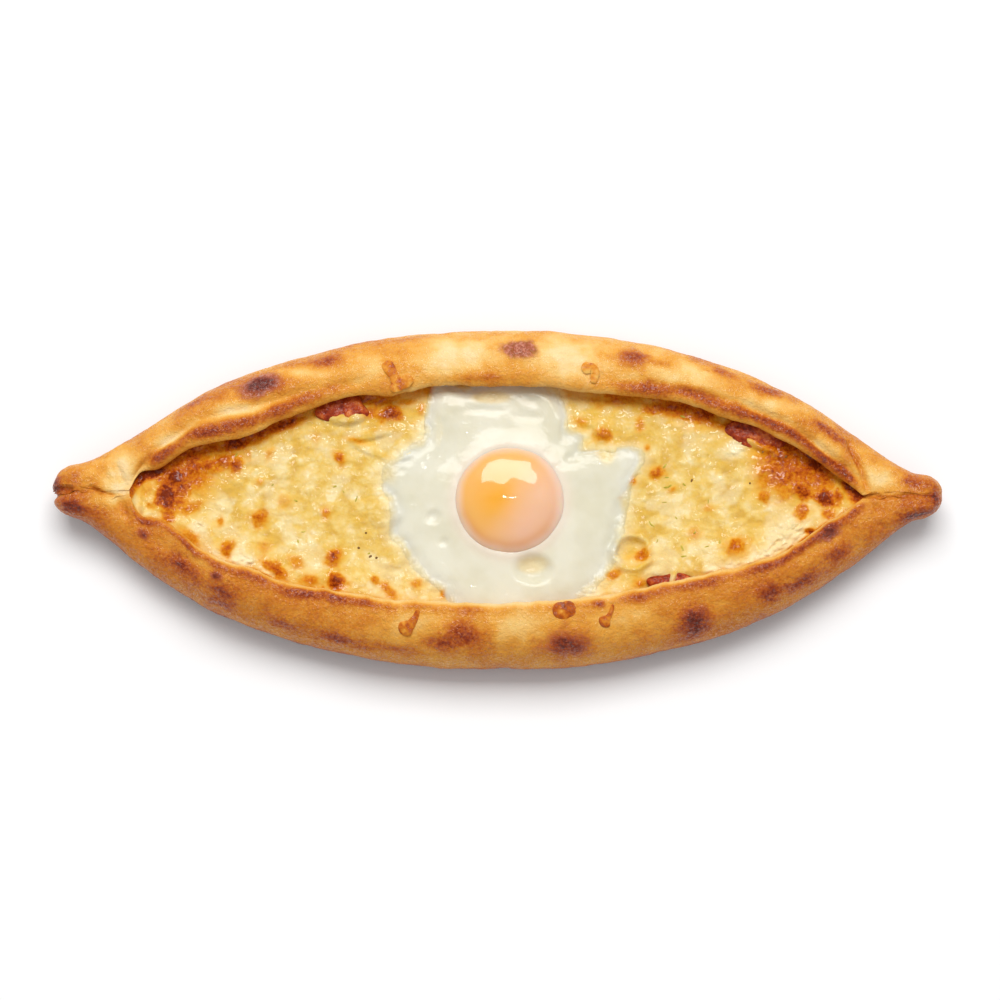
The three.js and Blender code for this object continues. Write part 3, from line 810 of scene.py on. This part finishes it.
def cheeseColour(place):
    # colour and relief of the cheese, shared with the thin edge of the egg white
    cloud = noiseValue(place, 7, 3)
    fleck = noiseValue(place, 2.4, 3, 0.6)
    warp = addNode("TexNoise", {"Vector": place, "Scale": 140, "Detail": 2}).outputs["Color"]
    bend = {0: warp, 1: (0.006, 0.006, 0), 2: place}
    bent = addNode("VectorMath", bend, operation="MULTIPLY_ADD").outputs[0]
    shreds = addNode("TexVoronoi", {"Vector": bent, "Scale": 190, "Smoothness": 0.7},
                     feature="SMOOTH_F1").outputs["Distance"]
    value = scaled(fleck, 0.25, times(cloud, 0.75))
    value = plus(value, scaled(shreds, -0.36, 0.15))
    base = ramp(value, [
        (0.34, 216, 172, 78), (0.44, 228, 192, 104), (0.54, 236, 207, 132), (0.66, 243, 222, 168),
    ])
    edges = addNode("TexVoronoi", {"Vector": bent, "Scale": 230}, feature="DISTANCE_TO_EDGE")
    gaps = spread(edges.outputs[0], 0, 0.2, 0.75, 0)
    base = blendColour(times(gaps, cloud), base, tint(224, 178, 62))
    colour = blendColour(times(painted(place, "oily"), 0.5), base, tint(224, 178, 54))
    colour = blendColour(times(painted(place, "milky"), 0.85), colour, tint(243, 232, 192))
    # brown holds the blisters' browning and the painted shade under the back lip
    brown = painted(place, "brown")
    browningAndPaintedLight = times(brown, scaled(fleck, 0.9, 0.55))
    browningAndPaintedLight = times(browningAndPaintedLight, scaled(noiseValue(place, 1.1, 3, 0.65), 1.3, 0.35))
    brownAndShadeColour = ramp(browningAndPaintedLight, [
        (0.08, 233, 186, 78), (0.26, 226, 162, 44), (0.44, 214, 134, 18), (0.6, 196, 102, 4),
        (0.76, 172, 74, 4), (0.94, 120, 38, 0),
    ])
    colour = blendColour(times(brown, 2.6, clamp=True), colour, brownAndShadeColour)
    return colour, scaled(gaps, -0.06, fleck)


def cheeseMaterial():
    material, place = startMaterial("meltedCheese")
    colour, relief = cheeseColour(place)
    patches = spread(noiseValue(place, 3.4, 2, 0.5), 0.48, 0.56, 0.04, 1, "LINEAR")
    glints = bumpFrom(noiseValue(place, 2, 0), 1, 1.7)   # crisp and wet
    return finishMaterial(
        material, colour=[colour], skin=[0.5, 0.08], depth=[0.1, (1, 0.65, 0.25), 0.002],
        coat=[times(patches, painted(place, "glint")), 0.06, 1.65],
        bumps=[bumpFrom(relief, 0.6, 0.8), glints])


makeCheese()

# egg: the white and the yolk

white = {"segments": 240, "rings": 96, "thickness": 4.2, "edge": 0.4, "overlap": 1.08}
yolk = {"segments": 96, "rings": 64, "squareness": 0.78, "grow": 1.045}
whiteDimples = [   # x, y, length, width, turn, depth
    (-22.5, -7, 3.2, 2.8, 0, 0.9), (-19, -16, 2.4, 1.8, 0, 0.4), (12.9, -25.6, 7.8, 5.8, 0, 2.5),
    (-34, 9.5, 2, 1.4, 0, 0.4), (-4, 31.5, 9, 1.6, 0, 0.6), (12, 29, 6, 2, 0, 0.5),
    (-26, 26, 3, 5, 0, 0.4), (27, 14, 3, 2.4, 0, 0.5),
]
whiteGaps = [   # cheese showing through the white: x, y, length, width, turn, strength
    (39.5, 19.5, 4.4, 8.5, 0, 1), (-2, 36, 8.5, 2.6, 0, 0.75), (-47.5, 22, 4, 2, 0, 0.8),
    (12.9, -24.2, 6.2, 3.4, 6, 0.58), (-21, 24, 2, 6, 0, 0.2),
]


def whiteHeight(x, y, out):
    soft = 0.32 * grain((x, y, 0), 15, 2, 61) + 0.03 * grain((x, y, 0), 5, 2, 63)
    soft += 0.35 * grain((x, y * 1.6, 0), 5, 2, 65) * smooth(y, 24, 33)
    bank = 0.45 * bump(fromYolk(x, y), 22, 3) * smooth(y, -6, 14) + 0.5 * bump(fromYolk(x, y), 19.5, 1.6)
    body = cheese["level"] + egg["rise"] + soft + bank - 0.8 * smooth(out, 0.4, 0.95)
    for dimple, depth in ovalsNear(whiteDimples, x, y):
        body -= depth * (1 - smooth(dimple, 0.35, 1.1))
    thin = cheeseHeight(x, y) + 0.25
    return mix(mix(body, thin, smooth(out, 0.84, 0.97)), thin - 0.9, smooth(out, 0.97, 1.08))


def makeWhite():
    mesh, layers = ballMesh(white, "brown", "milky", "oily", "film", "blush")
    for vert in mesh.verts:
        x, y, z = vert.co
        turn = atan2(y, x)
        reach = asin(min(hypot(x, y), 1)) / (pi / 2) * white["overlap"]
        radius = whiteRadius(degrees(turn)) * reach
        x, y = egg["x"] + radius * cos(turn), egg["y"] + radius * sin(turn)
        y = copysign(min(abs(y), wallReach(x, sign(y)) - 0.1), y)
        out = whiteEdge(x, y)
        top = whiteHeight(x, y, out)
        thickness = white["edge"] + white["thickness"] * (1 - min(reach, 1) ** 2)
        gap = max(size * (1 - smooth(hole, 0.6, 1.1)) for hole, size in ovalsNear(whiteGaps, x, y))
        vert.co = Vector((x, y, top - 0.7 * gap ** 2 - (0 if z >= 0 else thickness)))
        farOut = 0.85 * smooth(-x, 34, 39) * smooth(y, 3, 8) * (1 - smooth(y, 22, 30))
        film = max(smooth(out + 0.04 * grain((x, y, 0), 5, 3, 67), 0.93, 1), gap, farOut)
        paint(vert, layers, (*cheeseTone((x, y, top)), film, bump(fromYolk(x, y), 19.5, 2.8)))
    finishPiece(mesh, "eggWhite", whiteMaterial(), "egg_white", "egg_white")


def whiteMaterial():
    material, place = startMaterial("settledWhite")
    film = painted(place, "film")
    colour = ramp(noiseValue(place, 14, 3, 0.5), [(0.35, 219, 213, 187), (0.6, 228, 223, 202)])
    colour = blendColour(times(painted(place, "blush"), 0.5), colour, tint(246, 224, 206))
    ripples = times(noiseValue(place, 2.4, 2, 0.5), scaled(film, 0.9, 0.08))
    return finishMaterial(
        material, colour=[blendColour(film, colour, cheeseColour(place)[0])], skin=[0.45, 0.2],
        depth=[0.35, (1, 0.9, 0.7), 0.004], coat=[0.45, 0.05, 1.5],
        bumps=[bumpFrom(ripples, 0.6, 0.5), bumpFrom(ripples, 1, 1.4)])


def makeYolk():
    mesh, layers = ballMesh(yolk, "core", "veil", "rim", "lowerRimShade")
    radiusX, radiusY = ((yolkHigh[axis] - yolkLow[axis]) / 2 / mm * yolk["grow"] for axis in (0, 1))
    middle, half = (yolkHigh.z + yolkLow.z) / 2 / mm, (yolkHigh.z - yolkLow.z) / 2 / mm
    for vert in mesh.verts:
        x, y, z = vert.co
        flat = hypot(x, y)
        share = flat ** yolk["squareness"] / max(flat, 1e-6)
        sag = 1 + 0.02 * grain(vert.co * 10, 7, 2, 71)
        x, y = x * share * radiusX * sag, y * share * radiusY * sag
        out = hypot(x, y) / radiusX
        paint(vert, layers, (
            bump(hypot((x + 4) / 8.5, (y - 0.5) / 8), 0, 1),
            smooth(x * 0.85 - y * 0.5 + 1.5 * grain((x, y, 0), 9, 2, 75), -5, 12),
            smooth(out + 0.03 * grain((x, y, 0), 8, 2, 77), 0.76, 0.97),
            # painted shade: a darker orange band along the front edge of the yolk
            bump(out, 0.86, 0.12) * smooth(-y, -2, 12),
        ))
        height = middle + half * z * (1 + 0.03 * grain((x, y, 0), 9, 2, 73))
        vert.co = Vector((egg["x"] + x, egg["y"] + y, height))
    finishPiece(mesh, "eggYolk", yolkMaterial(), "egg_yolk", "egg_yolk")


def yolkMaterial():
    material, place = startMaterial("softYolk")
    cloud = noiseValue(place, 12, 3, 0.5)
    colour = blendColour(painted(place, "core"), tint(240, 181, 98), tint(240, 166, 6))
    veil = times(painted(place, "veil"), scaled(cloud, 0.5, 0.55), clamp=True)
    colour = blendColour(veil, colour, tint(235, 187, 160))
    # painted shade: a darker orange band along the front edge of the yolk
    colour = blendColour(times(painted(place, "lowerRimShade"), 0.6), colour, tint(222, 146, 82))
    colour = blendColour(times(painted(place, "rim"), 0.85), colour, tint(243, 214, 194))
    return finishMaterial(
        material, colour=[colour], skin=[0.3, 0.25], depth=[0.3, (1, 0.5, 0.15), 0.004], coat=[1, 0.04])


makeWhite()
makeYolk()

# cured meat

meat = {"segments": 96, "rings": 48, "squareness": 0.6, "relief": 0.5}


def makeMeat(node, seed, shift):
    low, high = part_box(node)
    middle, half = (low + high) / 2 / mm, (high - low) / 2 / mm
    mesh, _ = ballMesh(meat)
    for vert in mesh.verts:
        x, y, z = vert.co
        turn, flat = atan2(y, x), hypot(x, y)
        lobed = 1 + 0.1 * cos(3 * turn + seed) + 0.05 * sin(5 * turn + 2 * seed)
        share = lobed * flat ** meat["squareness"] / max(flat, 1e-6)
        vert.co = Vector((x * share * half.x, y * share * half.y, z * half.z)) + middle
        vert.co += Vector((0, shift[0], shift[1] + meat["relief"] * grain(vert.co, 5, 2, seed)))
    finishPiece(mesh, "cured" + node.title().replace("_", ""), meatMaterial(), "cured_meat", node)


@lru_cache(maxsize=None)
def meatMaterial():
    material, place = startMaterial("curedMeat")
    marble = noiseValue(place, 3, 3, 0.6)
    colour = ramp(marble, [(0.34, 114, 28, 8), (0.52, 168, 62, 22), (0.7, 214, 118, 52)])
    return finishMaterial(
        material, colour=[colour], skin=[0.5, 0.05], coat=[0.4, 0.07, 1.5],
        bumps=[bumpFrom(marble, 0.6, 0.8), bumpFrom(marble, 1, 1.2)])


# the shift shows as much of each piece as comes out from under the lip
makeMeat("meat_back_left", 1.7, (-0.6, 0.3))
makeMeat("meat_back_right", 2.7, (-0.6, 0.2))
makeMeat("meat_front", 3.7, (1.8, 0.6))

# cheese that ran over the rim and browned there

drips = {   # height is how far it stands out; the spine is x, y and the radius there
    "dripBackLeft": {"height": 1, "brown": 0.54,
        "spine": [(-38.9, 46.6, 1.7), (-38, 45, 1.9), (-36.5, 42.5, 1.3), (-35.2, 39.6, 2)]},
    "dripBackLeftFoot": {"height": 1, "brown": 0.44,
        "spine": [(-31.6, 41.4, 1.7), (-32.6, 40.4, 1.7), (-34.4, 39.2, 1.5), (-36.4, 38.4, 1.5)]},
    "dripBackRight": {"height": 1.2, "brown": 0.32,
        "spine": [(34.6, 41, 1), (35.2, 43.6, 1.2), (34, 45.6, 1.5), (32.2, 45.6, 2)]},
    "dripFrontLeft": {"height": 1.3, "brown": 0.62,
        "spine": [(-28, -41.4, 0.7), (-28.6, -43.4, 0.9), (-30.2, -45.8, 1.4), (-32.2, -47.4, 2.5)]},
    "dripFrontRight": {"height": 1.3, "brown": 0.56,
        "spine": [(41, -39.4, 0.5), (40.6, -41.4, 0.7), (39.6, -43.4, 0.9), (38.3, -45, 2)]},
    "dripFrontFlat": {"height": 0.8, "brown": 0.7,
        "spine": [(22, -41, 2.3), (24, -41.2, 2.6), (25.8, -40.8, 2.4)]},
}
dripBall = {"segments": 32, "rings": 48, "cap": 60}   # cap is how many degrees round off each end


def alongSpine(spine, share):
    place = min(max(share, 0), 1) * (len(spine) - 1)
    index = min(int(place), len(spine) - 2)
    step = place - index
    step = mix(step, smooth(step, 0, 1), 0.5)
    return [mix(a, b, step) for a, b in zip(spine[index], spine[index + 1])]


def rimPoint(x, y):
    # a point on the outer skin of the rim and its slope across
    here, beside = surfaceHeight(x, y), surfaceHeight(x, y + 0.4)
    return Vector((x, y, here)), Vector((0, -(beside - here) / 0.4, 1)).normalized()


def makeDrip(name, drip):
    mesh, layers = ballMesh(dripBall, "brown")
    for vert in mesh.verts:
        # the middle of the ball is drawn out along the spine, the rest rounds the two ends
        polar = degrees(acos(max(min(vert.co.z, 1), -1)))
        share = min(max((polar - dripBall["cap"]) / (180 - 2 * dripBall["cap"]), 0), 1)
        turn = radians(min(min(polar, 180 - polar) / dripBall["cap"] * 90, 90))
        flat = max(hypot(vert.co.x, vert.co.y), 1e-6)
        across, lift = vert.co.x / flat * sin(turn), vert.co.y / flat * sin(turn)
        x, y, radius = alongSpine(drip["spine"], share)
        nextX, nextY, _ = alongSpine(drip["spine"], share + 0.08)
        lastX, lastY, _ = alongSpine(drip["spine"], share - 0.08)
        way = Vector((nextX - lastX, nextY - lastY, 0)).normalized()
        beyond = cos(turn) * radius * (1 if share > 0.5 else -1)
        point, up = rimPoint(x + way.x * beyond, y + way.y * beyond)
        sideways = way.cross(up).normalized()
        radius *= 1.2 + 0.2 * grain((x, y, across), 2.4, 2, 85)
        point += sideways * across * radius + up * (lift * drip["height"] * (0.12 + 0.17 * radius) + 0.05)
        tone = drip["brown"] + 0.3 * grain(point, 2.5, 2, 81) - 0.1 * (1 - max(lift, 0)) ** 2
        paint(vert, layers, [tone])
        vert.co = point + Vector((0, 0, 0.1 * grain(point, 1.2, 2, 83)))
    finishPiece(mesh, name, dripMaterial(), "melted_cheese")


@lru_cache(maxsize=None)
def dripMaterial():
    material, place = startMaterial("bakedDrip")
    fleck = noiseValue(place, 1.6, 3, 0.6)
    value = plus(painted(place, "brown"), scaled(fleck, 0.8, -0.36), clamp=True)
    colour = ramp(value, [(0.1, 236, 184, 94), (0.4, 220, 142, 44), (0.7, 184, 88, 16), (1, 118, 40, 6)])
    return finishMaterial(
        material, colour=[colour], skin=[0.5, 0.1], coat=[spread(fleck, 0.5, 0.62), 0.08],
        bumps=[bumpFrom(fleck, 0.6, 0.6), bumpFrom(fleck, 1, 1)])


for name, drip in drips.items():
    makeDrip(name, drip)

# herb flecks and pepper on the cheese

flecks = {   # each zone is x, y, its spread along and across, and how many flecks are tried there
    "herbFlecks": {
        "material": "driedHerb", "colours": [(0.35, 172, 158, 48), (0.65, 206, 188, 84)],
        "length": (0.5, 1.3), "width": (0.16, 0.34), "seed": 5,
        "zones": [(58, 4, 26, 22, 16), (-52, -3, 22, 18, 8), (64, -16, 16, 10, 8), (-70, 12, 26, 14, 4)],
    },
    "pepperSpecks": {
        "material": "crackedPepper", "colours": [(0.35, 92, 62, 30), (0.65, 150, 108, 60)],
        "length": (0.35, 0.7), "width": (0.3, 0.5), "seed": 8,
        "zones": [(-37, -18, 6, 5, 4), (-30, -25, 6, 4, 4), (-46, -22, 8, 6, 4), (84, 10, 20, 10, 4)],
    },
}


def fleckMaterial(plan):
    material, place = startMaterial(plan["material"])
    colour = ramp(noiseValue(place, 1.5, 2, 0.6), plan["colours"])
    return finishMaterial(material, colour=[colour], skin=[0.6, 0.1])


def makeFlecks(name, plan):
    dice = random.Random(plan["seed"])
    mesh = bmesh.new()
    for zoneX, zoneY, spreadX, spreadY, number in plan["zones"]:
        for _ in range(number):
            x, y = zoneX + dice.gauss(0, spreadX / 2), zoneY + dice.gauss(0, spreadY / 2)
            x = min(max(x, -100), 110)
            if abs(y) > lipReach(x, sign(y)) - 4 or whiteEdge(x, y) < 1.08:
                continue
            length, width = dice.uniform(*plan["length"]), dice.uniform(*plan["width"])
            spin = Matrix.Rotation(dice.uniform(0, pi), 4, "Z")
            spin @= Matrix.Rotation(dice.uniform(-0.2, 0.2), 4, "Y")
            shape = Matrix.Diagonal((length, width, 0.14, 1))
            seat = Matrix.Translation((x, y, cheeseHeight(x, y) + 0.06))
            bmesh.ops.create_icosphere(mesh, subdivisions=2, radius=1, matrix=seat @ spin @ shape)
    finishPiece(mesh, name, fleckMaterial(plan), "melted_cheese")


for name, plan in flecks.items():
    makeFlecks(name, plan)

# stage, light and camera

stage = {"floorSize": 6.0, "floor": (0.94, 0.94, 0.94, 1), "ambient": 0.48}
camera = {"elevation": 84, "distance": 1.25, "lens": 125, "aimX": 0.0012, "aimZ": 0.0095}
lights = [   # name, place, aim, width, depth, power
    ("backSoftbox", (0, 1.45, 2.52), (0, 0, 0), 2.3, 1.5, 72),
    ("smallLamp", (0, 0.17, 1.5), (0, 0, 0), 0.03, 0.03, 0.2),
]


def makeStage():
    mesh = bmesh.new()
    bmesh.ops.create_grid(mesh, x_segments=1, y_segments=1, size=stage["floorSize"] / 2)
    material, _ = startMaterial("paleFloor")
    finishMaterial(material, colour=[stage["floor"]], skin=[0.9])
    meshObject(mesh, "paleFloor", material)
    world = bpy.data.worlds.new("softRoom")
    world.use_nodes = True
    background = world.node_tree.nodes["Background"]
    setInputs(background, {"Color": (1, 1, 1, 1), "Strength": stage["ambient"]})
    bpy.context.scene.world = world


def aimAt(thing, place, target):
    thing.location = place
    thing.rotation_euler = (Vector(target) - Vector(place)).to_track_quat("-Z", "Y").to_euler()


def makeLights():
    for name, place, target, width, depth, power in lights:
        data = bpy.data.lights.new(name, "AREA")
        data.shape = "RECTANGLE"
        data.size, data.size_y, data.energy = width, depth, power
        aimAt(addObject(name, data), place, target)


def makeCamera():
    data = bpy.data.cameras.new("overheadCamera")
    data.lens = camera["lens"]
    data.clip_start = 0.01
    viewer = addObject("overheadCamera", data)
    target = Vector((camera["aimX"], 0, camera["aimZ"]))
    lift = radians(camera["elevation"])
    aimAt(viewer, target + camera["distance"] * Vector((0, -cos(lift), sin(lift))), target)
    bpy.context.scene.camera = viewer


makeStage()
makeLights()
makeCamera()
bpy.context.scene.view_settings.view_transform = "Standard"
print("stage set")
